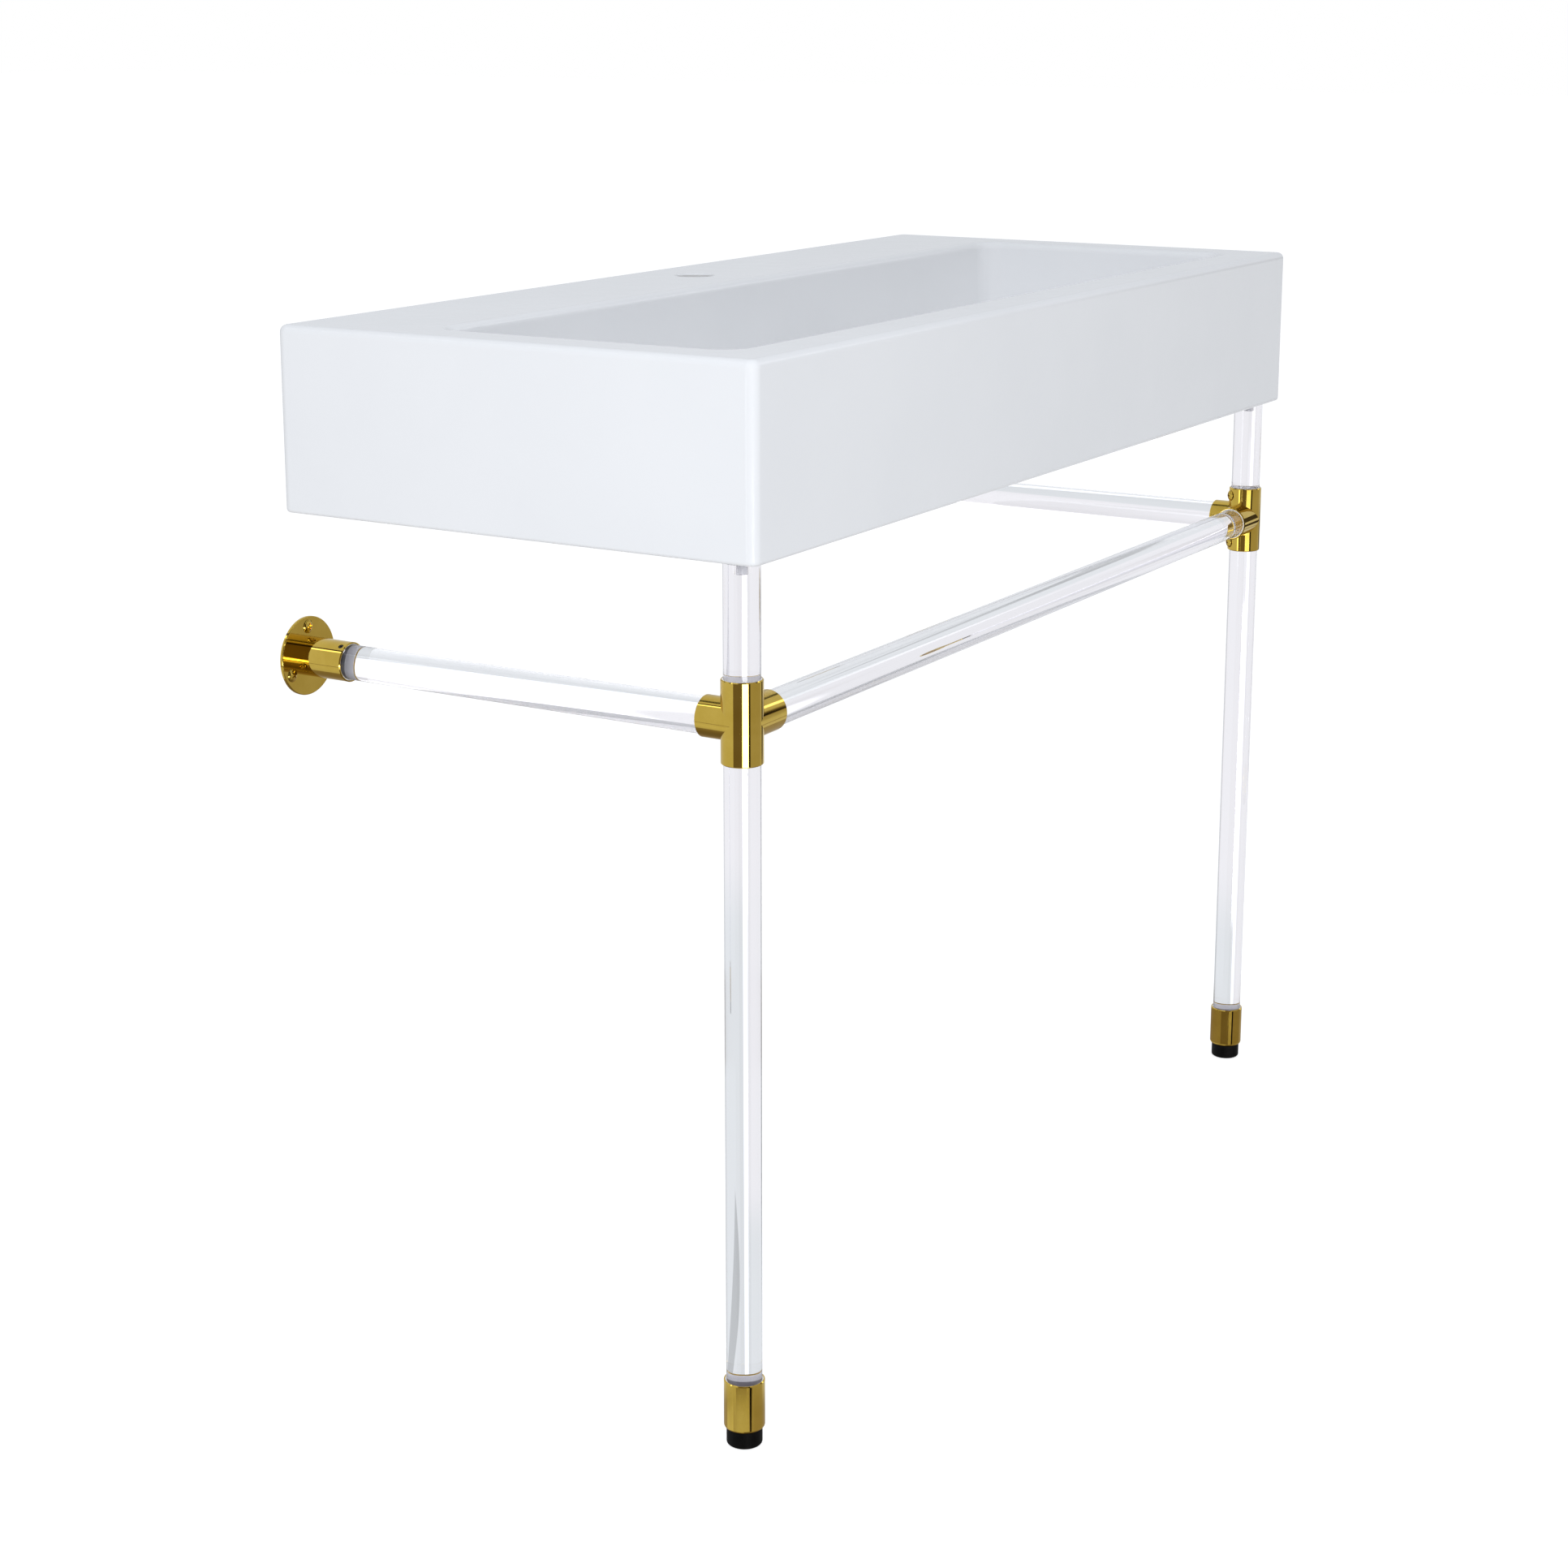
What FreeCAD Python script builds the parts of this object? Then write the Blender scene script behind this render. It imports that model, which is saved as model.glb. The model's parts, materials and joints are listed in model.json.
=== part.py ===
import FreeCAD
import Part
import Sketcher
import os

# Sizes of the washbasin, in millimetres
SIZES = {
    "basin_width": 1010.0,
    "basin_depth": 437.0,
    "basin_height": 148.0,
    "overall_height": 845.0,
    "corner_radius": 8.0,
    "top_radius": 6.0,
    "bottom_radius": 3.0,
    "rim_side": 38.0,
    "rim_front": 40.0,
    "deck_flat": 118.0,
    "lip_radius": 7.0,
    "bowl_depth": 105.0,
    "bowl_draft": 8.0,
    "bowl_corner_radius": 20.0,
    "bowl_floor_radius": 16.0,
    "bowl_fall": 4.0,
    "bowl_fall_radius": 110.0,
    "shell_wall": 12.0,
    "floor_wall": 16.0,
    "tap_hole_diameter": 35.0,
    "tap_hole_setback": 62.0,
    "tap_lip_radius": 1.5,
    "drain_diameter": 45.0,
    "drain_seat_diameter": 64.0,
    "drain_seat_depth": 2.0,
    "bolt_drop": 60.0,
    "bolt_spacing": 280.0,
    "bolt_hole_diameter": 14.0,
    "leg_inset_side": 22.0,
    "leg_inset_front": 25.0,
    "leg_pad": 20.0,
    "rod_diameter": 28.0,
    "rod_gap": 0.2,
    "end_gap": 0.2,
    "fitting_wall": 2.0,
    "fitting_bevel": 0.7,
    "rail_drop": 268.0,
    "tee_half_length": 32.0,
    "tee_side_reach": 32.0,
    "tee_front_reach": 38.0,
    "leg_ring_seat": 4.8,
    "rail_ring_seat": 3.0,
    "ring_inset": 0.2,
    "screw_edge": 8.0,
    "screw_head_diameter": 11.0,
    "screw_head_height": 3.0,
    "screw_head_edge": 0.6,
    "screw_shank_diameter": 5.0,
    "screw_seat": 0.5,
    "screw_bite": 4.0,
    "screw_gap": 0.2,
    "recess_length": 5.6,
    "recess_width": 1.3,
    "recess_depth": 1.6,
    "grub_diameter": 4.0,
    "grub_bite": 5.0,
    "grub_recess": 0.4,
    "grub_key": 1.0,
    "grub_key_depth": 2.5,
    "grub_edge": 6.0,
    "flange_diameter": 64.0,
    "flange_thickness": 2.5,
    "flange_rim_radius": 0.8,
    "flange_reach": 47.0,
    "flange_grub_edge": 4.5,
    "flange_floor": 6.0,
    "liner_wall": 0.7,
    "liner_gap": 0.1,
    "liner_floor": 2.0,
    "liner_inset": 0.8,
    "foot_diameter": 28.0,
    "foot_exposed": 14.0,
    "foot_edge_radius": 2.0,
    "foot_top_gap": 0.3,
    "cap_height": 40.0,
    "cap_web": 16.0,
    "cap_edge_radius": 2.5,
    "stud_diameter": 10.0,
    "stud_gap": 0.05,
    "stud_clearance": 0.4,
    "stud_base": 6.0,
    "stud_bevel": 1.0,
    "pin_diameter": 8.0,
    "pin_gap": 0.1,
    "pin_in_rod": 8.0,
    "pin_in_basin": 25.0,
    "washer_thickness": 1.5,
    "washer_inset": 0.5,
}

# Levels and centre lines shared by the pieces; the origin lies between the wall bolts
UNDERSIDE_Z = "(Sizes.bolt_drop - Sizes.basin_height)"
FLOOR_Z = "(Sizes.bolt_drop - Sizes.overall_height)"
RAIL_Z = "(Sizes.bolt_drop - Sizes.rail_drop)"
LEG_X = "(Sizes.basin_width / 2 - Sizes.leg_inset_side)"
LEG_Y = "(Sizes.leg_inset_front - Sizes.basin_depth)"
BOWL_FLOOR = "(Sizes.basin_height - Sizes.bowl_depth)"

# Radii and lengths that several pieces share
ROD_RADIUS = "(Sizes.rod_diameter / 2)"
BORE_RADIUS = f"({ROD_RADIUS} + Sizes.rod_gap)"
FITTING_RADIUS = f"({ROD_RADIUS} + Sizes.fitting_wall)"
LINER_INNER = f"({ROD_RADIUS} + Sizes.liner_gap)"
LINER_OUTER = f"({LINER_INNER} + Sizes.liner_wall)"
LINED_BORE = f"({LINER_OUTER} + Sizes.liner_gap)"
SCREW_HEAD_RADIUS = "(Sizes.screw_head_diameter / 2)"
SCREW_RADIUS = "(Sizes.screw_shank_diameter / 2)"
SCREW_HOLE_RADIUS = f"({SCREW_RADIUS} + Sizes.screw_gap)"
GRUB_HOLE_RADIUS = "(Sizes.grub_diameter / 2 + Sizes.screw_gap)"
SCREW_SEAT = f"({FITTING_RADIUS} - Sizes.screw_seat)"
SCREW_TIP = f"({ROD_RADIUS} - Sizes.screw_bite)"
GRUB_TIP = f"({ROD_RADIUS} - Sizes.grub_bite)"
CLAMP_RISE = "(Sizes.tee_half_length - Sizes.screw_edge)"
FLANGE_SCREW_OFFSET = f"(({FITTING_RADIUS} + Sizes.flange_diameter / 2) / 2)"
RAIL_STOP = f"({ROD_RADIUS} + 2 * Sizes.rod_gap)"
ROD_TOP_Z = f"({UNDERSIDE_Z} - Sizes.washer_thickness)"
CAP_SOCKET = "(Sizes.foot_exposed + Sizes.cap_web)"
ROD_END = f"({CAP_SOCKET} + Sizes.liner_floor + Sizes.end_gap)"
CAP_TOP = "(Sizes.foot_exposed + Sizes.cap_height)"
FOOT_RADIUS = "(Sizes.foot_diameter / 2)"
FOOT_TOP = "(Sizes.foot_exposed - Sizes.foot_top_gap)"
STUD_TOP = f"({CAP_SOCKET} + Sizes.liner_floor)"
STUD_HOLE_RADIUS = "(Sizes.stud_diameter / 2 + Sizes.stud_gap)"

X_AXIS = FreeCAD.Vector(1, 0, 0)
Y_AXIS = FreeCAD.Vector(0, 1, 0)
Z_AXIS = FreeCAD.Vector(0, 0, 1)
UP = FreeCAD.Rotation()
TO_WALL = FreeCAD.Rotation(X_AXIS, -90)
TO_ROOM = FreeCAD.Rotation(X_AXIS, 90)
TO_RIGHT = FreeCAD.Rotation(Y_AXIS, 90)
TO_LEFT = FreeCAD.Rotation(Y_AXIS, -90)

doc = FreeCAD.newDocument("washbasin")
nodes = []


def write_sizes():
    sheet = doc.addObject("Spreadsheet::Sheet", "Sizes")
    for row, (alias, size) in enumerate(SIZES.items(), start=1):
        sheet.set(f"A{row}", alias.replace("_", " "))
        sheet.set(f"B{row}", str(size))
        sheet.setAlias(f"B{row}", alias)
    doc.recompute()


def node(obj, label):
    obj.Label = label
    nodes.append(obj)
    return obj


def place(obj, x, y, z, rotation=UP):
    obj.Placement = FreeCAD.Placement(FreeCAD.Vector(), rotation)
    for axis, expression in zip("xyz", (x, y, z)):
        obj.setExpression(f"Placement.Base.{axis}", expression)
    return obj


# Plain solids and booleans

def cylinder(name, radius, height, at, rotation=UP):
    solid = doc.addObject("Part::Cylinder", name)
    solid.setExpression("Radius", radius)
    solid.setExpression("Height", height)
    return place(solid, *at, rotation)


def hexagon(name, radius, height, at, rotation=UP):
    solid = doc.addObject("Part::Prism", name)
    solid.Polygon = 6
    solid.setExpression("Circumradius", radius)
    solid.setExpression("Height", height)
    return place(solid, *at, rotation)


def fuse(name, solids):
    joined = doc.addObject("Part::MultiFuse", name)
    joined.Shapes = solids
    return joined


def cut(name, base, tools):
    result = doc.addObject("Part::Cut", name)
    result.Base = base
    result.Tool = tools[0] if len(tools) == 1 else fuse(f"{name}_tools", tools)
    return result


def compound(name, solids):
    group = doc.addObject("Part::Compound", name)
    group.Links = solids
    return group


# Sketches and features of a body

def new_body(name):
    body = doc.addObject("PartDesign::Body", name)
    body.AllowCompound = True
    return body


def datum(body, role):
    return next(item for item in body.Origin.OriginFeatures if item.Role == role)


def sketch_on(body, name, role, x="0", y="0", z="0"):
    sketch = body.newObject("Sketcher::SketchObject", name)
    sketch.AttachmentSupport = (datum(body, role), "")
    sketch.MapMode = "FlatFace"
    for axis, expression in zip("xyz", (x, y, z)):
        sketch.setExpression(f"AttachmentOffset.Base.{axis}", expression)
    return sketch


def fix_coordinate(sketch, kind, axis, index, expression):
    if expression == "0":
        sketch.addConstraint(Sketcher.Constraint("PointOnObject", index, 1, axis))
        return
    if expression.startswith("-"):
        ends = (index, 1, -1, 1)
    else:
        ends = (-1, 1, index, 1)
    number = sketch.addConstraint(Sketcher.Constraint(kind, *ends, 5.0 + index))
    sketch.setExpression(f"Constraints[{number}]", expression.lstrip("-"))


def outline(sketch, points, first=0, dome=None):
    count = len(points)
    for step in range(count):
        start = FreeCAD.Vector(10 + step, 10 + step * step, 0)
        end = FreeCAD.Vector(11 + step, 10 + (step + 1) ** 2, 0)
        if step == dome:
            circle = Part.Circle(FreeCAD.Vector(0, -20, 0), Z_AXIS, 30)
            sketch.addGeometry(Part.ArcOfCircle(circle, 1.2, 1.57), False)
        else:
            sketch.addGeometry(Part.LineSegment(start, end), False)
    for step in range(count):
        after = first + (step + 1) % count
        sketch.addConstraint(Sketcher.Constraint("Coincident", first + step, 2, after, 1))
    for step, (across, along) in enumerate(points):
        fix_coordinate(sketch, "DistanceX", -2, first + step, across)
        fix_coordinate(sketch, "DistanceY", -1, first + step, along)
    if dome is not None:
        sketch.addConstraint(Sketcher.Constraint("PointOnObject", first + dome, 3, -2))
    return sketch


def rectangle(x0, y0, x1, y1):
    return [(x0, y0), (x1, y0), (x1, y1), (x0, y1)]


def circle_at(sketch, index, x, y, radius):
    sketch.addGeometry(Part.Circle(FreeCAD.Vector(10, 10, 0), Z_AXIS, 5), False)
    for kind, axis, expression in (("DistanceX", -2, x), ("DistanceY", -1, y)):
        if expression == "0":
            sketch.addConstraint(Sketcher.Constraint("PointOnObject", index, 3, axis))
        else:
            number = sketch.addConstraint(Sketcher.Constraint(kind, -1, 1, index, 3, 10.0))
            sketch.setExpression(f"Constraints[{number}]", expression)
    number = sketch.addConstraint(Sketcher.Constraint("Radius", index, 5.0))
    sketch.setExpression(f"Constraints[{number}]", radius)


def extrude(body, kind, name, sketch, length, reverse=False):
    feature = body.newObject(kind, name)
    feature.Profile = sketch
    feature.setExpression("Length", length)
    feature.Reversed = reverse
    doc.recompute()
    return feature


def pad(body, name, sketch, length):
    return extrude(body, "PartDesign::Pad", name, sketch, length)


def pocket(body, name, sketch, length, reverse=False):
    return extrude(body, "PartDesign::Pocket", name, sketch, length, reverse)


def turn(body, kind, name, sketch):
    feature = body.newObject(kind, name)
    feature.Profile = sketch
    feature.ReferenceAxis = (sketch, ["V_Axis"])
    feature.Angle = 360
    doc.recompute()
    return feature


def loft(body, kind, name, upper, lower):
    feature = body.newObject(kind, name)
    feature.Profile = upper
    feature.Sections = [lower]
    feature.Ruled = True
    doc.recompute()
    return feature


def round_edges(body, name, radius, wanted):
    base = body.Tip
    names = [f"Edge{i}" for i, edge in enumerate(base.Shape.Edges, start=1) if wanted(edge)]
    feature = body.newObject("PartDesign::Fillet", name)
    feature.Base = (base, names)
    feature.setExpression("Radius", radius)
    doc.recompute()
    return feature


def ring_of(body, name, originals, count):
    pattern = body.newObject("PartDesign::PolarPattern", name)
    pattern.Originals = originals
    pattern.Axis = (datum(body, "Z_Axis"), [""])
    pattern.Angle = 360
    pattern.Occurrences = count
    body.Tip = pattern
    doc.recompute()
    return pattern


def mirror_of(body, name, originals, role):
    pattern = body.newObject("PartDesign::Mirrored", name)
    pattern.Originals = originals
    pattern.MirrorPlane = (datum(body, role), [""])
    body.Tip = pattern
    doc.recompute()
    return pattern


def ends_at(edge, level):
    box = edge.BoundBox
    return abs(box.ZMin - level) < 0.01 and abs(box.ZMax - level) < 0.01


def is_ring(edge, level, radius):
    curve = edge.Curve
    return ends_at(edge, level) and hasattr(curve, "Radius") and abs(curve.Radius - radius) < 0.01


# The ceramic basin, drawn from its front left lower corner

def make_basin():
    width = SIZES["basin_width"]
    depth = SIZES["basin_depth"]
    height = SIZES["basin_height"]
    body = new_body("basin_body")

    block = outline(sketch_on(body, "block_plan", "XY_Plane"),
                    rectangle("0", "0", "Sizes.basin_width", "Sizes.basin_depth"))
    pad(body, "block", block, "Sizes.basin_height")
    round_edges(body, "block_corners", "Sizes.corner_radius",
                lambda edge: edge.BoundBox.ZLength > height - 0.01)

    hollow = outline(sketch_on(body, "hollow_plan", "XY_Plane"),
                     rectangle("Sizes.shell_wall", "Sizes.shell_wall",
                               "Sizes.basin_width - Sizes.shell_wall",
                               "Sizes.basin_depth - Sizes.shell_wall"))
    pocket(body, "hollow", hollow, "Sizes.basin_height - Sizes.shell_wall", reverse=True)

    add_bowl_back(body, height)
    for side, near, far in (
            ("left", "Sizes.shell_wall / 2", "Sizes.leg_inset_side + Sizes.leg_pad"),
            ("right", "Sizes.basin_width - Sizes.leg_inset_side - Sizes.leg_pad",
             "Sizes.basin_width - Sizes.shell_wall / 2")):
        corner = outline(sketch_on(body, f"{side}_leg_pad_plan", "XY_Plane"),
                         rectangle(near, "Sizes.shell_wall / 2", far,
                                   "Sizes.leg_inset_front + Sizes.leg_pad"))
        pad(body, f"{side}_leg_pad", corner, "Sizes.basin_height - Sizes.shell_wall / 2")
    add_bowl(body, width, depth, height)
    add_basin_holes(body)

    tap_radius = SIZES["tap_hole_diameter"] / 2
    round_edges(body, "tap_lip", "Sizes.tap_lip_radius", lambda edge: is_ring(edge, height, tap_radius))
    round_edges(body, "rim_edges", "Sizes.top_radius",
                lambda edge: ends_at(edge, height) and is_outer(edge, width, depth))
    round_edges(body, "skirt_edges", "Sizes.bottom_radius",
                lambda edge: ends_at(edge, 0) and is_outer(edge, width, depth))
    place(body, "-Sizes.basin_width / 2", "-Sizes.basin_depth", UNDERSIDE_Z)
    return node(body, "basin")


def is_outer(edge, width, depth):
    corner = SIZES["corner_radius"] + 0.01
    middle = edge.CenterOfMass
    inset = min(middle.x, width - middle.x, middle.y, depth - middle.y)
    return inset < corner / 2


def bowl_plan(body, name, grow, level):
    rim_x = "(Sizes.rim_side + Sizes.lip_radius)"
    rim_y = "(Sizes.rim_front + Sizes.lip_radius)"
    deck_y = "(Sizes.basin_depth - Sizes.deck_flat - Sizes.lip_radius)"
    sketch = sketch_on(body, name, "XY_Plane", z=level)
    return outline(sketch, rectangle(f"{rim_x} - {grow}", f"{rim_y} - {grow}",
                                     f"Sizes.basin_width - {rim_x} + {grow}", f"{deck_y} + {grow}"))


def leans(edge):
    box = edge.BoundBox
    return box.ZLength > SIZES["bowl_depth"] / 2 and box.XLength > 1 and box.YLength > 1


def add_bowl_back(body, height):
    level = height - SIZES["bowl_depth"] - SIZES["floor_wall"]
    top = bowl_plan(body, "bowl_back_upper", "Sizes.shell_wall", "Sizes.basin_height - Sizes.shell_wall / 2")
    low = bowl_plan(body, "bowl_back_lower", "(Sizes.shell_wall - Sizes.bowl_draft)",
                    f"{BOWL_FLOOR} - Sizes.floor_wall")
    loft(body, "PartDesign::AdditiveLoft", "bowl_back", top, low)
    round_edges(body, "bowl_back_corners", "Sizes.bowl_corner_radius", leans)
    round_edges(body, "bowl_back_edges", "Sizes.bowl_floor_radius", lambda edge: ends_at(edge, level))


def add_bowl(body, width, depth, height):
    level = height - SIZES["bowl_depth"]
    top = bowl_plan(body, "bowl_upper", "0 * Sizes.shell_wall", "Sizes.basin_height")
    low = bowl_plan(body, "bowl_lower", "(-1 * Sizes.bowl_draft)", BOWL_FLOOR)
    loft(body, "PartDesign::SubtractiveLoft", "bowl", top, low)
    round_edges(body, "bowl_corners", "Sizes.bowl_corner_radius",
                lambda edge: leans(edge) and edge.BoundBox.ZMax > height - 0.01)
    round_edges(body, "bowl_floor_edges", "Sizes.bowl_floor_radius", lambda edge: ends_at(edge, level))
    round_edges(body, "bowl_lip", "Sizes.lip_radius",
                lambda edge: ends_at(edge, height) and not is_outer(edge, width, depth))


def add_basin_holes(body):
    bowl_middle = ("((Sizes.basin_depth - Sizes.deck_flat - Sizes.lip_radius"
                   " + Sizes.rim_front + Sizes.lip_radius) / 2)")
    seat_z = f"({BOWL_FLOOR} - Sizes.bowl_fall - Sizes.drain_seat_depth)"
    seat_radius = "(Sizes.drain_seat_diameter / 2)"

    fall = sketch_on(body, "fall_profile", "XZ_Plane", x="Sizes.basin_width / 2", z=f"-1 * {bowl_middle}")
    outline(fall, [("0", seat_z), (seat_radius, seat_z), (seat_radius, f"{BOWL_FLOOR} - Sizes.bowl_fall"),
                   ("Sizes.bowl_fall_radius", BOWL_FLOOR), ("Sizes.bowl_fall_radius", f"{BOWL_FLOOR} + 1"),
                   ("0", f"{BOWL_FLOOR} + 1")])
    turn(body, "PartDesign::Groove", "fall", fall)

    drain = sketch_on(body, "drain_plan", "XY_Plane", z=BOWL_FLOOR)
    circle_at(drain, 0, "Sizes.basin_width / 2", bowl_middle, "Sizes.drain_diameter / 2")
    pocket(body, "drain", drain, "Sizes.floor_wall + 1")

    tap = sketch_on(body, "tap_plan", "XY_Plane", z="Sizes.basin_height")
    circle_at(tap, 0, "Sizes.basin_width / 2", "Sizes.basin_depth - Sizes.tap_hole_setback",
              "Sizes.tap_hole_diameter / 2")
    pocket(body, "tap_hole", tap, "Sizes.shell_wall + 1")

    bolts = sketch_on(body, "bolt_plan", "XZ_Plane", z="-1 * Sizes.basin_depth")
    for index, sign in enumerate("-+"):
        circle_at(bolts, index, f"Sizes.basin_width / 2 {sign} Sizes.bolt_spacing / 2",
                  "Sizes.basin_height - Sizes.bolt_drop", "Sizes.bolt_hole_diameter / 2")
    pocket(body, "bolt_holes", bolts, "Sizes.shell_wall + 1", reverse=True)

    pins = sketch_on(body, "pin_plan", "XY_Plane")
    for index, x in enumerate(("Sizes.leg_inset_side", "Sizes.basin_width - Sizes.leg_inset_side")):
        circle_at(pins, index, x, "Sizes.leg_inset_front", "Sizes.pin_diameter / 2 + Sizes.pin_gap")
    pocket(body, "pin_holes", pins, "Sizes.pin_in_basin + Sizes.end_gap", reverse=True)


# Clear rods

def outward(base, direction, distance):
    return tuple(f"{start} + {part} * {distance}" for start, part in zip(base, direction))


def screw_direction(sign):
    half = 0.5 ** 0.5
    return (-sign * half, half, 0.0)


def grub_direction(sign):
    angle = 60.0
    slope = FreeCAD.Rotation(Y_AXIS, sign * (90.0 - angle))
    turned = slope.multVec(Z_AXIS)
    return (turned.x, turned.y, turned.z)


def along(direction):
    return FreeCAD.Rotation(Z_AXIS, FreeCAD.Vector(*direction))


def drill(name, base, direction, radius, tip, reach=None):
    start = outward(base, direction, tip)
    length = reach or f"({FITTING_RADIUS} * 1.5 - {tip})"
    return cylinder(name, radius, length, start, along(direction))


def clamp_points(sign):
    middle = (f"{sign} * {LEG_X}", LEG_Y)
    return [(*middle, f"{RAIL_Z} + {CLAMP_RISE}"), (*middle, f"{RAIL_Z} - {CLAMP_RISE}")]


def grub_points(sign):
    x = f"{sign} * {LEG_X}"
    front_x = f"{sign} * ({LEG_X} - Sizes.tee_front_reach + Sizes.grub_edge)"
    side_y = f"{LEG_Y} + Sizes.tee_side_reach - Sizes.grub_edge"
    flange_y = "Sizes.flange_grub_edge - Sizes.flange_reach"
    cap_z = f"{FLOOR_Z} + {CAP_TOP} - Sizes.grub_edge"
    down = (0.0, 0.0, -1.0)
    return {
        "front": ((front_x, LEG_Y, RAIL_Z), down),
        "side": ((x, side_y, RAIL_Z), down),
        "flange": ((x, flange_y, RAIL_Z), grub_direction(sign)),
        "foot": ((x, LEG_Y, cap_z), (0.0, 1.0, 0.0)),
    }


def grub_drill(name, sign, place_name):
    base, direction = grub_points(sign)[place_name]
    return drill(name, base, direction, GRUB_HOLE_RADIUS, f"({GRUB_TIP} - Sizes.end_gap)")


def make_leg(side, sign):
    x = f"{sign} * {LEG_X}"
    bottom = f"({FLOOR_Z} + {ROD_END})"
    rod = cylinder(f"{side}_leg_rod", ROD_RADIUS, f"{ROD_TOP_Z} - {bottom}", (x, LEG_Y, bottom))
    pin_depth = "(Sizes.pin_in_rod + Sizes.end_gap)"
    tools = [
        cylinder(f"{side}_leg_pin_hole", "Sizes.pin_diameter / 2 + Sizes.pin_gap", f"{pin_depth} + 1",
                 (x, LEG_Y, f"{ROD_TOP_Z} - {pin_depth}")),
        grub_drill(f"{side}_leg_foot_hole", sign, "foot"),
    ]
    for number, base in enumerate(clamp_points(sign), start=1):
        tools.append(drill(f"{side}_leg_screw_hole_{number}", base, screw_direction(sign),
                           SCREW_HOLE_RADIUS, f"({SCREW_TIP} - Sizes.end_gap)"))
    return node(cut(f"{side}_leg_cut", rod, tools), f"{side}_leg")


def make_side_rail(side, sign):
    x = f"{sign} * {LEG_X}"
    start = f"({LEG_Y} + {RAIL_STOP})"
    end = "(-1 * Sizes.flange_floor - Sizes.liner_floor - Sizes.end_gap)"
    rod = cylinder(f"{side}_rail_rod", ROD_RADIUS, f"{end} - {start}", (x, start, RAIL_Z), TO_WALL)
    tools = [grub_drill(f"{side}_rail_{name}_hole", sign, name) for name in ("side", "flange")]
    return node(cut(f"{side}_rail_cut", rod, tools), f"{side}_rail")


def make_front_rail():
    start = f"({RAIL_STOP} - {LEG_X})"
    rod = cylinder("front_rail_rod", ROD_RADIUS, f"-2 * {start}", (start, LEG_Y, RAIL_Z), TO_RIGHT)
    tools = [grub_drill(f"front_rail_{side}_hole", sign, "front") for side, sign in SIDES]
    return node(cut("front_rail_cut", rod, tools), "front_rail")


# Brass fittings

def tee_mouths(side, sign):
    x = f"{sign} * {LEG_X}"
    end_x = f"{sign} * ({LEG_X} - Sizes.tee_front_reach)"
    on_leg = "Sizes.leg_ring_seat"
    on_rail = "Sizes.rail_ring_seat"
    return [
        (f"{side}_tee_upper", (x, LEG_Y, f"{RAIL_Z} + Sizes.tee_half_length"), (0.0, 0.0, 1.0), on_leg),
        (f"{side}_tee_lower", (x, LEG_Y, f"{RAIL_Z} - Sizes.tee_half_length"), (0.0, 0.0, -1.0), on_leg),
        (f"{side}_tee_back", (x, f"{LEG_Y} + Sizes.tee_side_reach", RAIL_Z), (0.0, 1.0, 0.0), on_rail),
        (f"{side}_tee_inner", (end_x, LEG_Y, RAIL_Z), (-1.0 * sign, 0.0, 0.0), on_rail),
    ]


def make_tee(side, sign):
    x = f"{sign} * {LEG_X}"
    centre = (x, LEG_Y, RAIL_Z)
    inward = TO_LEFT if sign > 0 else TO_RIGHT
    low = f"{RAIL_Z} - Sizes.tee_half_length"
    arms = [
        cylinder(f"{side}_tee_barrel", FITTING_RADIUS, "2 * Sizes.tee_half_length", (x, LEG_Y, low)),
        cylinder(f"{side}_tee_side_arm", FITTING_RADIUS, "Sizes.tee_side_reach", centre, TO_WALL),
        cylinder(f"{side}_tee_front_arm", FITTING_RADIUS, "Sizes.tee_front_reach", centre, inward),
    ]
    bores = [
        cylinder(f"{side}_tee_leg_bore", BORE_RADIUS, "2 * Sizes.tee_half_length + 2",
                 (x, LEG_Y, f"{low} - 1")),
        cylinder(f"{side}_tee_side_bore", BORE_RADIUS, "Sizes.tee_side_reach + 1", centre, TO_WALL),
        cylinder(f"{side}_tee_front_bore", BORE_RADIUS, "Sizes.tee_front_reach + 1", centre, inward),
    ]
    for name, mouth, direction, depth in tee_mouths(side, sign):
        bores.append(cylinder(f"{name}_ring_seat", LINED_BORE, f"{depth} + 1",
                              outward(mouth, direction, f"(-1 * {depth})"), along(direction)))
    for number, base in enumerate(clamp_points(sign), start=1):
        direction = screw_direction(sign)
        bores.append(drill(f"{side}_tee_screw_hole_{number}", base, direction, SCREW_HOLE_RADIUS, SCREW_TIP))
        bores.append(drill(f"{side}_tee_screw_seat_{number}", base, direction,
                           f"({SCREW_HEAD_RADIUS} + Sizes.screw_gap)", SCREW_SEAT))
    for name in ("front", "side"):
        bores.append(grub_drill(f"{side}_tee_{name}_hole", sign, name))
    tee = cut(f"{side}_tee_cut", fuse(f"{side}_tee_arms", arms), bores)
    doc.recompute()
    bevel = doc.addObject("Part::Chamfer", f"{side}_tee_bevel")
    bevel.Base = tee
    size = SIZES["fitting_bevel"]
    outer = SIZES["rod_diameter"] / 2 + SIZES["fitting_wall"]
    bevel.Edges = [(number, size, size) for number, edge in enumerate(tee.Shape.Edges, start=1)
                   if isinstance(edge.Curve, Part.Circle) and abs(edge.Curve.Radius - outer) < 0.01]
    return node(bevel, f"{side}_tee")


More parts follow.
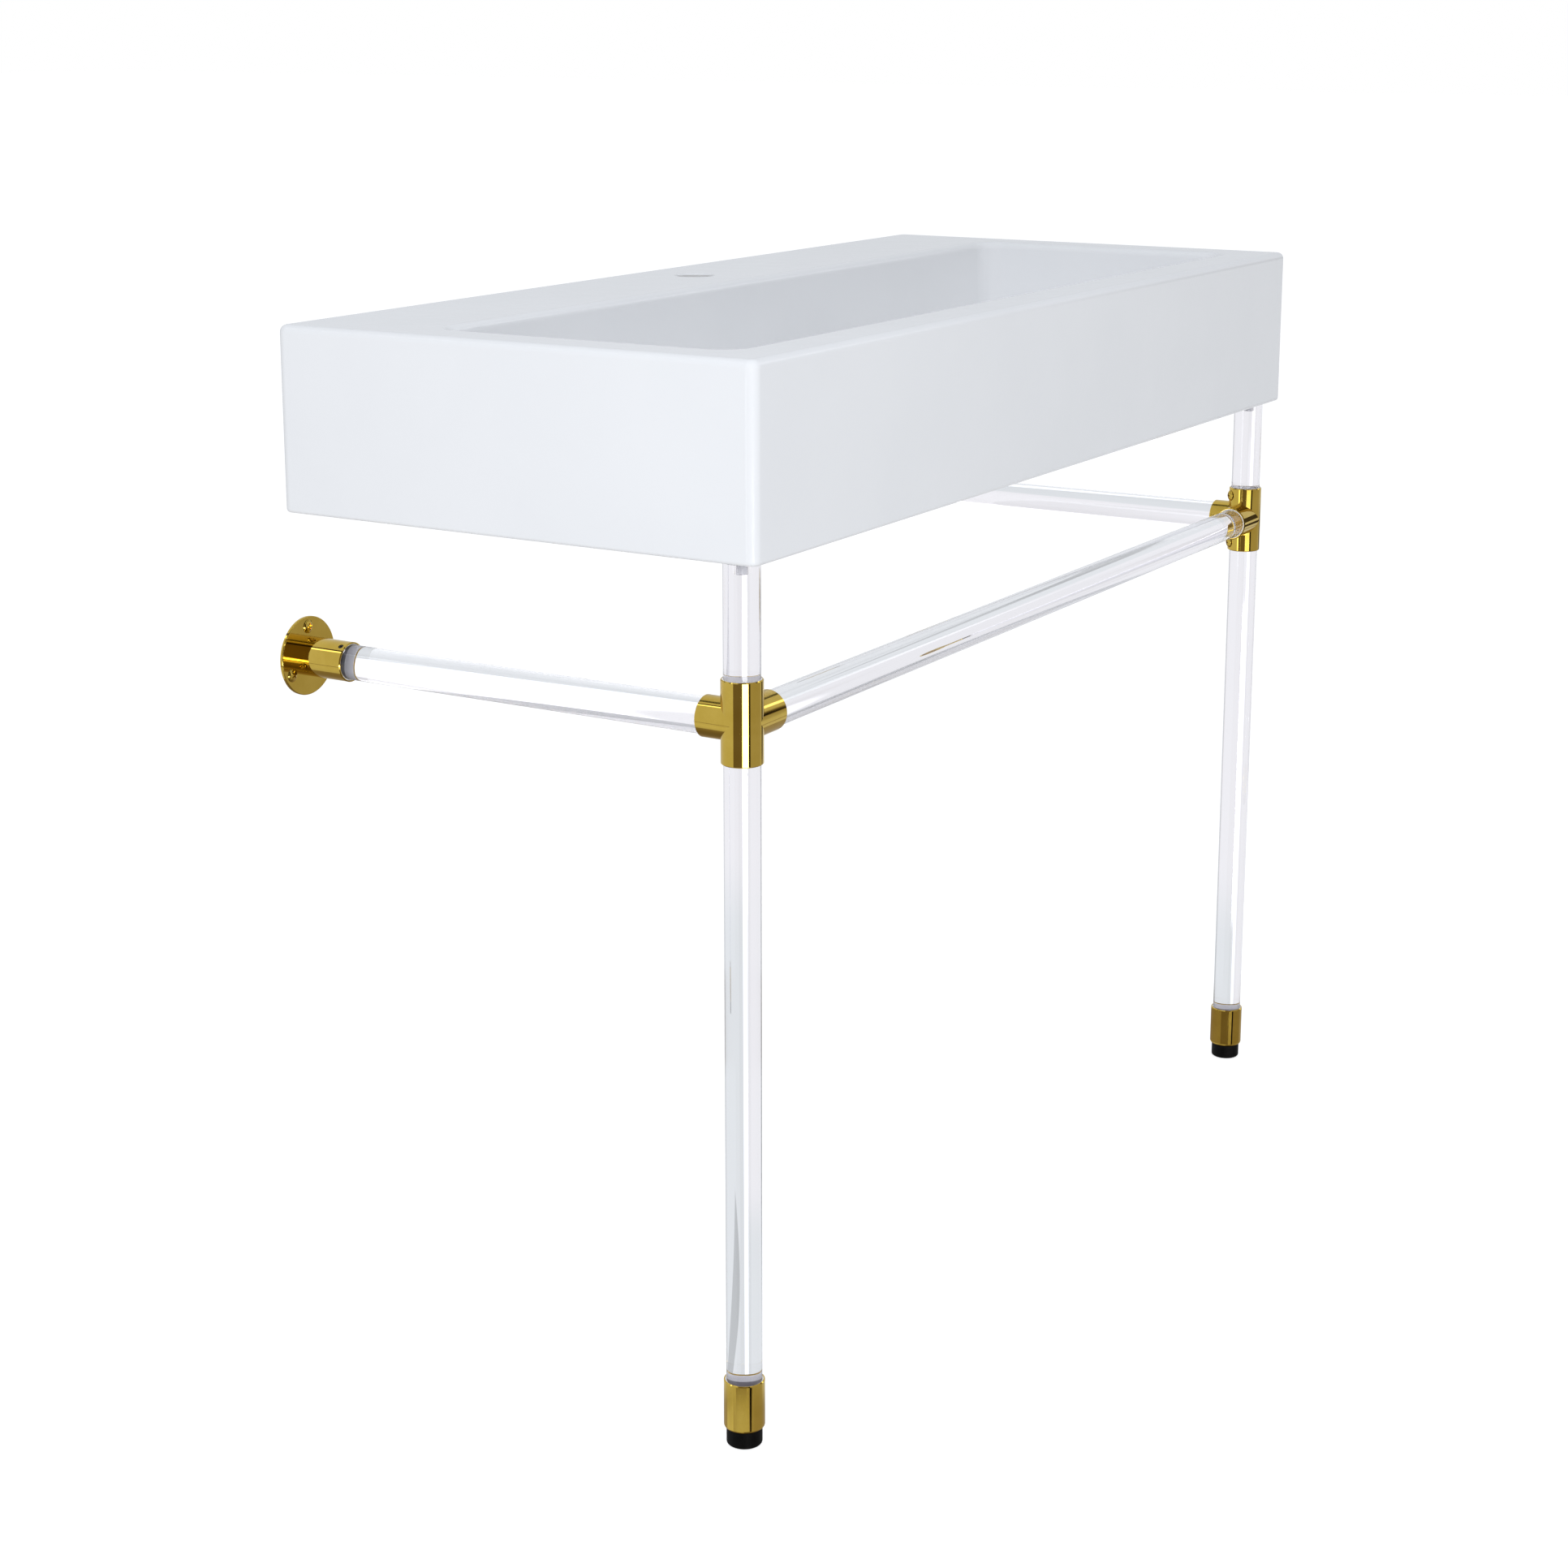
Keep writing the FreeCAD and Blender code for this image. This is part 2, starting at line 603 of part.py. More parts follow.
def make_tee_rings(side, sign):
    rings = []
    for name, mouth, direction, depth in tee_mouths(side, sign):
        start = outward(mouth, direction, f"(-1 * {depth})")
        length = f"{depth} - Sizes.ring_inset"
        outer = cylinder(f"{name}_ring_outer", LINER_OUTER, length, start, along(direction))
        inner = cylinder(f"{name}_ring_inner", LINER_INNER, length, start, along(direction))
        rings.append(cut(f"{name}_ring", outer, [inner]))
    return node(compound(f"{side}_tee_ring_set", rings), f"{side}_tee_rings")


def screw_profile(head_at, tip_at):
    return [("0", tip_at), (SCREW_RADIUS, tip_at), (SCREW_RADIUS, head_at), (SCREW_HEAD_RADIUS, head_at),
            (SCREW_HEAD_RADIUS, f"{head_at} + Sizes.screw_head_edge"),
            ("0", f"{head_at} + Sizes.screw_head_height")]


def cross_points():
    long = "(Sizes.recess_length / 2)"
    thin = "(Sizes.recess_width / 2)"
    quarter = [(long, thin), (thin, thin), (thin, long)]
    left = [(f"-{x}", y) for x, y in reversed(quarter)]
    lower = [(f"-{x}", f"-{y}") for x, y in quarter]
    right = [(x, f"-{y}") for x, y in reversed(quarter)]
    return quarter + left + lower + right


def screw_features(body, name, offset, head_at, tip_at):
    profile = sketch_on(body, f"{name}_profile", "YZ_Plane", x=offset)
    outline(profile, screw_profile(head_at, tip_at), dome=4)
    turned = turn(body, "PartDesign::Revolution", f"{name}_turned", profile)
    top = f"{head_at} + Sizes.screw_head_height"
    recess = sketch_on(body, f"{name}_recess_plan", "XY_Plane", y=offset, z=top)
    outline(recess, cross_points())
    return [turned, pocket(body, f"{name}_recess", recess, "Sizes.recess_depth")]


def make_clamp_screws(side, sign):
    body = new_body(f"{side}_clamp_screw_body")
    features = screw_features(body, f"{side}_clamp_screw", CLAMP_RISE, SCREW_SEAT, SCREW_TIP)
    mirror_of(body, f"{side}_clamp_screw_pair", features, "XZ_Plane")
    swing = FreeCAD.Rotation(Z_AXIS, -sign * 135.0)
    place(body, f"{sign} * {LEG_X}", LEG_Y, RAIL_Z, swing * TO_ROOM)
    return node(body, f"{side}_tee_clamp_screws")


def grub_screw(name, sign, place_name):
    base, direction = grub_points(sign)[place_name]
    outer = f"({FITTING_RADIUS} - Sizes.grub_recess)"
    blank = cylinder(f"{name}_blank", "Sizes.grub_diameter / 2", f"{outer} - {GRUB_TIP}",
                     outward(base, direction, GRUB_TIP), along(direction))
    key_floor = f"({outer} - Sizes.grub_key_depth)"
    key = hexagon(f"{name}_key", "Sizes.grub_key", "Sizes.grub_key_depth + 1",
                  outward(base, direction, key_floor), along(direction))
    return cut(name, blank, [key])


def make_grub_screws(side, sign):
    pair = [grub_screw(f"{side}_{name}_arm_grub", sign, name) for name in ("front", "side")]
    node(compound(f"{side}_tee_grub_pair", pair), f"{side}_tee_grub_screws")
    node(grub_screw(f"{side}_flange_grub", sign, "flange"), f"{side}_flange_grub_screw")
    node(grub_screw(f"{side}_foot_grub", sign, "foot"), f"{side}_foot_grub_screw")


def make_flange(side, sign):
    body = new_body(f"{side}_flange_body")
    profile = sketch_on(body, f"{side}_flange_profile", "XZ_Plane")
    bevel = "Sizes.fitting_bevel"
    outline(profile, [
        ("0", "0"), ("Sizes.flange_diameter / 2", "0"), ("Sizes.flange_diameter / 2", "Sizes.flange_thickness"),
        (FITTING_RADIUS, "Sizes.flange_thickness"), (FITTING_RADIUS, f"Sizes.flange_reach - {bevel}"),
        (f"{FITTING_RADIUS} - {bevel}", "Sizes.flange_reach"), (LINED_BORE, "Sizes.flange_reach"),
        (LINED_BORE, "Sizes.flange_floor"), ("0", "Sizes.flange_floor")])
    turn(body, "PartDesign::Revolution", f"{side}_flange_turned", profile)
    rim = SIZES["flange_diameter"] / 2
    round_edges(body, f"{side}_flange_rim", "Sizes.flange_rim_radius",
                lambda edge: is_ring(edge, SIZES["flange_thickness"], rim))
    hole = sketch_on(body, f"{side}_flange_hole_profile", "YZ_Plane", x=FLANGE_SCREW_OFFSET)
    seat = "(Sizes.flange_thickness - Sizes.screw_seat)"
    wide = f"({SCREW_HEAD_RADIUS} + Sizes.screw_gap)"
    outline(hole, [("0", "0"), (SCREW_HOLE_RADIUS, "0"), (SCREW_HOLE_RADIUS, seat), (wide, seat),
                   (wide, "Sizes.flange_thickness + 1"), ("0", "Sizes.flange_thickness + 1")])
    drilled = turn(body, "PartDesign::Groove", f"{side}_flange_hole", hole)
    ring_of(body, f"{side}_flange_holes", [drilled], 3)
    grub = grub_drill(f"{side}_flange_grub_hole", sign, "flange")
    place(body, f"{sign} * {LEG_X}", "0", RAIL_Z, TO_ROOM)
    return node(cut(f"{side}_flange_cut", body, [grub]), f"{side}_wall_flange")


def make_wall_screws(side, sign):
    body = new_body(f"{side}_wall_screw_body")
    seat = "(Sizes.flange_thickness - Sizes.screw_seat)"
    features = screw_features(body, f"{side}_wall_screw", FLANGE_SCREW_OFFSET, seat, "Sizes.end_gap")
    ring_of(body, f"{side}_wall_screw_ring", features, 3)
    place(body, f"{sign} * {LEG_X}", "0", RAIL_Z, TO_ROOM)
    return node(body, f"{side}_wall_screws")


def liner_profile(floor_at, rim_at, hole):
    step = f"({floor_at} + Sizes.liner_floor)"
    return [(hole, floor_at), (LINER_OUTER, floor_at), (LINER_OUTER, rim_at), (LINER_INNER, rim_at),
            (LINER_INNER, step), (hole, step)]


def make_flange_liner(side, sign):
    body = new_body(f"{side}_flange_liner_body")
    profile = sketch_on(body, f"{side}_flange_liner_profile", "XZ_Plane")
    outline(profile, liner_profile("Sizes.flange_floor", "(Sizes.flange_reach - Sizes.liner_inset)", "0"))
    turn(body, "PartDesign::Revolution", f"{side}_flange_liner_turned", profile)
    place(body, f"{sign} * {LEG_X}", "0", RAIL_Z, TO_ROOM)
    grub = grub_drill(f"{side}_flange_liner_hole", sign, "flange")
    return node(cut(f"{side}_flange_liner_cut", body, [grub]), f"{side}_flange_liner")


# Feet

def make_foot_cap(side, sign):
    body = new_body(f"{side}_foot_cap_body")
    profile = sketch_on(body, f"{side}_foot_cap_profile", "XZ_Plane")
    bevel = "Sizes.fitting_bevel"
    outline(profile, [
        (STUD_HOLE_RADIUS, "Sizes.foot_exposed"), (FITTING_RADIUS, "Sizes.foot_exposed"),
        (FITTING_RADIUS, f"{CAP_TOP} - {bevel}"), (f"{FITTING_RADIUS} - {bevel}", CAP_TOP),
        (LINED_BORE, CAP_TOP), (LINED_BORE, CAP_SOCKET), (STUD_HOLE_RADIUS, CAP_SOCKET)])
    turn(body, "PartDesign::Revolution", f"{side}_foot_cap_turned", profile)
    outer = SIZES["rod_diameter"] / 2 + SIZES["fitting_wall"]
    round_edges(body, f"{side}_foot_cap_edge", "Sizes.cap_edge_radius",
                lambda edge: is_ring(edge, SIZES["foot_exposed"], outer))
    place(body, f"{sign} * {LEG_X}", LEG_Y, FLOOR_Z)
    grub = grub_drill(f"{side}_foot_cap_hole", sign, "foot")
    return node(cut(f"{side}_foot_cap_cut", body, [grub]), f"{side}_foot_cap")


def make_foot_liner(side, sign):
    body = new_body(f"{side}_foot_liner_body")
    profile = sketch_on(body, f"{side}_foot_liner_profile", "XZ_Plane")
    hole = "(Sizes.stud_diameter / 2 + Sizes.stud_clearance)"
    outline(profile, liner_profile(CAP_SOCKET, f"({CAP_TOP} - Sizes.liner_inset)", hole))
    turn(body, "PartDesign::Revolution", f"{side}_foot_liner_turned", profile)
    place(body, f"{sign} * {LEG_X}", LEG_Y, FLOOR_Z)
    grub = grub_drill(f"{side}_foot_liner_hole", sign, "foot")
    return node(cut(f"{side}_foot_liner_cut", body, [grub]), f"{side}_foot_liner")


def make_foot(side, sign):
    body = new_body(f"{side}_foot_body")
    profile = sketch_on(body, f"{side}_foot_profile", "XZ_Plane")
    outline(profile, [
        ("0", "0"), (FOOT_RADIUS, "0"), (FOOT_RADIUS, FOOT_TOP), (STUD_HOLE_RADIUS, FOOT_TOP),
        (STUD_HOLE_RADIUS, "Sizes.stud_base"), ("0", "Sizes.stud_base")])
    turn(body, "PartDesign::Revolution", f"{side}_foot_turned", profile)
    outer = SIZES["foot_diameter"] / 2
    round_edges(body, f"{side}_foot_edge", "Sizes.foot_edge_radius", lambda edge: is_ring(edge, 0, outer))
    place(body, f"{sign} * {LEG_X}", LEG_Y, FLOOR_Z)
    return node(body, f"{side}_foot")


def make_stud(side, sign):
    body = new_body(f"{side}_foot_stud_body")
    profile = sketch_on(body, f"{side}_foot_stud_profile", "XZ_Plane")
    radius = "(Sizes.stud_diameter / 2)"
    bevel = "Sizes.stud_bevel"
    base = "Sizes.stud_base + Sizes.stud_gap"
    outline(profile, [("0", base), (radius, base), (radius, f"{STUD_TOP} - {bevel}"),
                      (f"{radius} - {bevel}", STUD_TOP), ("0", STUD_TOP)])
    turn(body, "PartDesign::Revolution", f"{side}_foot_stud_turned", profile)
    place(body, f"{sign} * {LEG_X}", LEG_Y, FLOOR_Z)
    return node(body, f"{side}_foot_stud")


# Leg tops

def make_leg_top(side, sign):
    x = f"{sign} * {LEG_X}"
    pin = cylinder(f"{side}_pin", "Sizes.pin_diameter / 2",
                   "Sizes.pin_in_rod + Sizes.washer_thickness + Sizes.pin_in_basin",
                   (x, LEG_Y, f"{ROD_TOP_Z} - Sizes.pin_in_rod"))
    node(pin, f"{side}_leg_pin")
    disc = cylinder(f"{side}_washer_disc", f"{ROD_RADIUS} - Sizes.washer_inset", "Sizes.washer_thickness",
                    (x, LEG_Y, ROD_TOP_Z))
    hole = cylinder(f"{side}_washer_hole", "Sizes.pin_diameter / 2 + Sizes.pin_gap",
                    "Sizes.washer_thickness + 2", (x, LEG_Y, f"{ROD_TOP_Z} - 1"))
    node(cut(f"{side}_washer_cut", disc, [hole]), f"{side}_leg_washer")


def check_and_export():
    doc.recompute()
    for obj in doc.Objects:
        if "Invalid" in obj.State or "Error" in obj.State:
            raise RuntimeError(f"{obj.Label} did not compute: {obj.State}")
    os.makedirs("parts", exist_ok=True)
    for obj in nodes:
        if obj.Shape.isNull() or not obj.Shape.isValid():
            raise RuntimeError(f"{obj.Label} has no valid shape")
    for obj in nodes:
        obj.Shape.exportStep(f"parts/{obj.Label}.step")


SIDES = (("left", -1), ("right", 1))

write_sizes()
make_basin()
make_front_rail()
for side_name, side_sign in SIDES:
    make_leg(side_name, side_sign)
    make_side_rail(side_name, side_sign)
    make_tee(side_name, side_sign)
    make_tee_rings(side_name, side_sign)
    make_clamp_screws(side_name, side_sign)
    make_flange(side_name, side_sign)
    make_flange_liner(side_name, side_sign)
    make_wall_screws(side_name, side_sign)
    make_foot_cap(side_name, side_sign)
    make_foot_liner(side_name, side_sign)
    make_foot(side_name, side_sign)
    make_stud(side_name, side_sign)
    make_grub_screws(side_name, side_sign)
    make_leg_top(side_name, side_sign)
check_and_export()
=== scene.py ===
import json
import math
import bpy
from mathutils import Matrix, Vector

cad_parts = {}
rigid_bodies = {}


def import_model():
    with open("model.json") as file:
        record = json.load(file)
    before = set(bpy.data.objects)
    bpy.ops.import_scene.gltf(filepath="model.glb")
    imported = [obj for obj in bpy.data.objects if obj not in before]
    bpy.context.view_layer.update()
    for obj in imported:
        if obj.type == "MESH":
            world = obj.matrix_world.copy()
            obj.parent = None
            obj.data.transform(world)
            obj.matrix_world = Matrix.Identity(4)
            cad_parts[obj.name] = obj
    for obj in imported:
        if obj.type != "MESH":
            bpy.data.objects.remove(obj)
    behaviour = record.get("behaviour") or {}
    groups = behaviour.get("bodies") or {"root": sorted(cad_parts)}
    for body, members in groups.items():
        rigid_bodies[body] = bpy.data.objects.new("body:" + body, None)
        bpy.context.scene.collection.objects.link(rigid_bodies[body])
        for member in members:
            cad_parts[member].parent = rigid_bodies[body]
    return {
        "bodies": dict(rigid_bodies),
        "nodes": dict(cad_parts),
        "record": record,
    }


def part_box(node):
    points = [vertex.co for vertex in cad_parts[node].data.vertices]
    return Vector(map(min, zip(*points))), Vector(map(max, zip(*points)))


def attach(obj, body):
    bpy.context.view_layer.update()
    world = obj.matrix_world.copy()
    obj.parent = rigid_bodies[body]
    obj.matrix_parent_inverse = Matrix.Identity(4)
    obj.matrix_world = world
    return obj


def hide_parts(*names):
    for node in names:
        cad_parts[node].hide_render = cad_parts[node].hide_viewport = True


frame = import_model()

# Lengths are in metres, angles in degrees and colours in linear red, green and blue

FLOOR_Z = -0.785
LEG_X = 0.483
LEG_Y = -0.412

# The liners carry painted light at their lips, a pale colour for the light on the socket wall near its mouth:
# above this level in the feet and before this depth in the flanges
LINER_PAINTED_LIGHT_Z = FLOOR_Z + 0.0484
LINER_PAINTED_LIGHT_Y = -0.0375

# Where the casting is left unglazed: inside its tap hole, where the darker bare colour is also painted shade,
# and on its back
TAP_HOLE_AT = (0.0, -0.062, 0.0)
TAP_HOLE_RADIUS = 0.0175
TAP_LIP_LEVEL = 0.0582
BACK_LEVEL = -0.0002

# Width of the soft edge between two colours of one piece, such as glaze and bare clay, or a liner and its
# painted light
MASK_EDGE = 0.0002

# Camera place and aim
CAMERA_AT = (-2.191, -1.4747, 0.3084)
CAMERA_YAW = 31.019
CAMERA_PITCH = 12.825
CAMERA_LENS = 65.209
CAMERA_SHIFT = -0.09
CAMERA_REACH = 100.0


class Wire:
    """One output of a node; arithmetic with it adds Math nodes."""

    def __init__(self, board, socket):
        self.board = board
        self.socket = socket

    def math(self, operation, *values):
        return self.board.node("ShaderNodeMath", {"operation": operation}, dict(enumerate(values)))

    def __add__(self, other):
        return self.math("ADD", self, other)

    def __radd__(self, other):
        return self.math("ADD", other, self)

    def __sub__(self, other):
        return self.math("SUBTRACT", self, other)

    def __rsub__(self, other):
        return self.math("SUBTRACT", other, self)

    def __mul__(self, other):
        return self.math("MULTIPLY", self, other)

    def __rmul__(self, other):
        return self.math("MULTIPLY", other, self)

    def __truediv__(self, other):
        return self.math("DIVIDE", self, other)


class Board:
    """The nodes of one material or of the world."""

    def __init__(self, tree):
        self.tree = tree
        tree.nodes.clear()

    def node(self, kind, settings=None, sockets=None, out=0):
        made = self.tree.nodes.new(kind)
        for name, setting in (settings or {}).items():
            setattr(made, name, setting)
        for name, value in (sockets or {}).items():
            if isinstance(value, Wire):
                self.tree.links.new(value.socket, made.inputs[name])
            else:
                made.inputs[name].default_value = value
        return Wire(self, made.outputs[out]) if made.outputs else None

    def place(self):
        return self.node("ShaderNodeTexCoord", out="Object")

    def part(self, place, axis):
        return self.node("ShaderNodeSeparateXYZ", None, {"Vector": place}, out=axis)

    def vectors(self, operation, *values, out="Vector"):
        return self.node("ShaderNodeVectorMath", {"operation": operation}, dict(enumerate(values)), out=out)

    def stretched(self, place, scale):
        return self.vectors("MULTIPLY", place, scale)

    def noise(self, place, scale, detail=2.0, rough=0.5):
        sockets = {"Vector": place, "Scale": scale, "Detail": detail, "Roughness": rough}
        return self.node("ShaderNodeTexNoise", None, sockets)

    def ramp(self, value, low, high, start=0.0, end=1.0):
        sockets = {"Value": value, "From Min": low, "From Max": high, "To Min": start, "To Max": end}
        return self.node("ShaderNodeMapRange", {"interpolation_type": "SMOOTHSTEP"}, sockets)

    def colours(self, factor, first, second):
        ends = [end if isinstance(end, Wire) else (*end, 1.0) for end in (first, second)]
        return self.node("ShaderNodeMix", {"data_type": "RGBA"}, {0: factor, 6: ends[0], 7: ends[1]}, out=2)

    def bump(self, height, strength, distance):
        sockets = {"Height": height, "Strength": strength, "Distance": distance}
        return self.node("ShaderNodeBump", None, sockets)

    def ray(self, name):
        return self.node("ShaderNodeLightPath", out=name)

    def principled(self, sockets):
        return self.node("ShaderNodeBsdfPrincipled", None, sockets)


def material(name, finish):
    made = bpy.data.materials.new(name)
    made.use_nodes = True
    board = Board(made.node_tree)
    board.node("ShaderNodeOutputMaterial", None, {"Surface": finish(board)})
    return made


# Finishes, and the two colours that each of them varies between

GLAZE = ((0.853, 0.858, 0.864), (0.867, 0.871, 0.876))
# Bare clay. Its darker tone also serves as painted shade inside the tap hole
BARE_CLAY_AND_SHADE = ((0.560, 0.556, 0.548), (0.660, 0.655, 0.645))
ACRYLIC = ((0.920, 0.915, 0.955), (0.940, 0.935, 0.972))
BRASS = ((0.626, 0.429, 0.0695), (0.693, 0.486, 0.0912))
STEEL = ((0.040, 0.039, 0.038), (0.090, 0.088, 0.086))
LINER = ((0.250, 0.240, 0.262), (0.310, 0.300, 0.325))
# Painted light: the pale colour of the liners' lips, for light falling just inside the socket mouth
LINER_PAINTED_LIGHT = ((0.830, 0.835, 0.850), (0.880, 0.884, 0.895))
RUBBER = ((0.002, 0.002, 0.002), (0.006, 0.0055, 0.0055))
SILICONE = ((0.760, 0.765, 0.775), (0.830, 0.835, 0.845))
NYLON = ((0.905, 0.909, 0.918), (0.940, 0.943, 0.950))


def white_glaze(board):
    place = board.place()
    pooled = board.noise(place, 7.0, 3.0)
    peel = board.noise(place, 260.0, 2.0)
    wave = board.noise(place, 28.0, 1.0)
    pits = board.ramp(board.noise(place, 900.0, 1.0), 0.74, 0.82)
    grit = board.noise(place, 1400.0, 3.0, 0.6)
    level = board.part(place, "Z")
    from_hole = board.stretched(board.vectors("SUBTRACT", place, TAP_HOLE_AT), (1.0, 1.0, 0.0))
    reach = board.vectors("LENGTH", from_hole, out="Value")
    # Painted shade: the inside of the tap hole takes the darker bare clay colour, both for the unglazed clay
    # and for the shade in the hole
    shaded_bare_hole = board.ramp(reach, TAP_HOLE_RADIUS + MASK_EDGE, TAP_HOLE_RADIUS + 2.0 * MASK_EDGE, 1.0, 0.0)
    shaded_bare_hole = shaded_bare_hole * board.ramp(level, TAP_LIP_LEVEL, TAP_LIP_LEVEL + 2.0 * MASK_EDGE, 1.0, 0.0)
    on_back = board.ramp(board.part(place, "Y"), BACK_LEVEL - MASK_EDGE, BACK_LEVEL)
    bare_and_hole_shade = shaded_bare_hole.math("MAXIMUM", shaded_bare_hole, on_back)
    glazed = board.colours(board.ramp(pooled, 0.35, 0.65), *GLAZE)
    return board.principled({
        "Base Color": board.colours(bare_and_hole_shade, glazed, board.colours(grit, *BARE_CLAY_AND_SHADE)),
        "Roughness": 0.11 + 0.05 * pooled + 0.12 * pits + 0.45 * bare_and_hole_shade,
        "IOR": 1.5,
        "Specular IOR Level": 0.25,
        "Normal": board.bump(wave + 0.15 * peel - 0.1 * pits, 0.05, 0.004),
    })


def clear_acrylic(board):
    place = board.place()
    haze = board.noise(place, 14.0, 4.0, 0.6)
    return board.principled({
        "Base Color": board.colours(haze, *ACRYLIC),
        "Roughness": board.ramp(haze, 0.55, 0.8, 0.0, 0.015),
        "IOR": 1.49,
        "Transmission Weight": 1.0,
    })


def polished_brass(board):
    place = board.place()
    tarnish = board.noise(place, 38.0, 4.0, 0.6)
    buffed = board.noise(board.stretched(place, (1.0, 1.0, 9.0)), 420.0, 3.0, 0.6)
    return board.principled({
        "Base Color": board.colours(board.ramp(tarnish, 0.3, 0.7), *BRASS),
        "Metallic": 1.0,
        "Roughness": 0.03 + 0.03 * tarnish + 0.03 * board.ramp(buffed, 0.5, 0.8),
        "Normal": board.bump(buffed, 0.004, 0.0004),
    })


def blackened_steel(board):
    place = board.place()
    rings = board.noise(board.stretched(place, (30.0, 30.0, 1500.0)), 1.0, 3.0, 0.6)
    stain = board.noise(place, 160.0, 3.0)
    return board.principled({
        "Base Color": board.colours(stain, *STEEL),
        "Metallic": 1.0,
        "Roughness": 0.36 + 0.2 * rings,
        "Normal": board.bump(rings, 0.15, 0.0003),
    })


def grey_liner_painted_light(board):
    place = board.place()
    grain = board.noise(place, 700.0, 3.0)
    depth = board.part(place, "Y")
    level = board.part(place, "Z")
    # Painted light: the band at the lip is coloured pale for the light on the socket wall near the mouth, the
    # rest keeps the grey liner colour
    painted_light_at_lip = board.ramp(level, LINER_PAINTED_LIGHT_Z - MASK_EDGE, LINER_PAINTED_LIGHT_Z + MASK_EDGE)
    painted_light_at_lip = painted_light_at_lip * board.ramp(depth, LINER_PAINTED_LIGHT_Y - MASK_EDGE, LINER_PAINTED_LIGHT_Y + MASK_EDGE, 1.0, 0.0)
    return board.principled({
        "Base Color": board.colours(painted_light_at_lip, board.colours(grain, *LINER), board.colours(grain, *LINER_PAINTED_LIGHT)),
        "Roughness": 0.45 + 0.25 * grain,
        "Normal": board.bump(grain, 0.2, 0.0004),
    })


def black_rubber(board):
    place = board.place()
    grain = board.noise(place, 1100.0, 3.0, 0.6)
    dust = board.ramp(board.noise(place, 60.0, 4.0, 0.6), 0.5, 0.8)
    return board.principled({
        "Base Color": board.colours(dust, *RUBBER),
        "Specular IOR Level": 0.08,
        "Roughness": 0.42 + 0.2 * grain + 0.1 * dust,
        "Normal": board.bump(grain, 0.15, 0.0004),
    })


def milky_silicone(board):
    place = board.place()
    cloud = board.noise(place, 220.0, 3.0)
    return board.principled({
        "Base Color": board.colours(cloud, *SILICONE),
        "Roughness": 0.35 + 0.15 * cloud,
        "Subsurface Weight": 0.2,
        "Subsurface Radius": (0.002, 0.002, 0.002),
        "Normal": board.bump(cloud, 0.1, 0.0003),
    })


def white_nylon(board):
    place = board.place()
    grain = board.noise(place, 900.0, 3.0)
    return board.principled({
        "Base Color": board.colours(grain, *NYLON),
        "Roughness": 0.4 + 0.2 * grain,
        "Normal": board.bump(grain, 0.15, 0.0003),
    })


FINISHES = {
    "glaze": material("white_glaze", white_glaze),
    "acrylic": material("clear_acrylic", clear_acrylic),
    "brass": material("polished_brass", polished_brass),
    "brass_screws": material("brass_screw_heads", polished_brass),
    "steel": material("blackened_steel", blackened_steel),
    "liner": material("grey_liner_painted_light", grey_liner_painted_light),
    "nylon": material("white_nylon", white_nylon),
    "black_rubber": material("black_rubber", black_rubber),
    "clear_silicone": material("milky_silicone", milky_silicone),
}


def clear_stage():
    kept = {*frame["nodes"].values(), *frame["bodies"].values()}
    for obj in list(bpy.data.objects):
        if obj not in kept:
            bpy.data.objects.remove(obj)
    bpy.ops.object.select_all(action="DESELECT")


def dress_nodes():
    for subpart in frame["record"]["subparts"]:
        mesh = frame["nodes"][subpart["node"]].data
        mesh.materials.clear()
        mesh.materials.append(FINISHES[subpart["material_slot"]])


# Threaded studs of the levelling feet

STUD_PITCH = 0.0015
STUD_CREST = 0.0050
STUD_CORE = 0.0043
STUD_TURNS = 16
STUD_SIDES = 28
STUD_CHAMFER = 0.0006
CREST_SHARE = 0.2
THREAD_START = 0.0004
CORE_OVERLAP = 0.00005
SMOOTH_ANGLE = 35.0
NEAR = 1e-6


def choose(test):
    """Selects the vertices of the mesh being edited whose place passes the test."""
    bpy.ops.mesh.select_all(action="DESELECT")
    bpy.ops.object.mode_set(mode="OBJECT")
    for vertex in bpy.context.object.data.vertices:
        vertex.select = test(vertex.co)
    bpy.ops.object.mode_set(mode="EDIT")


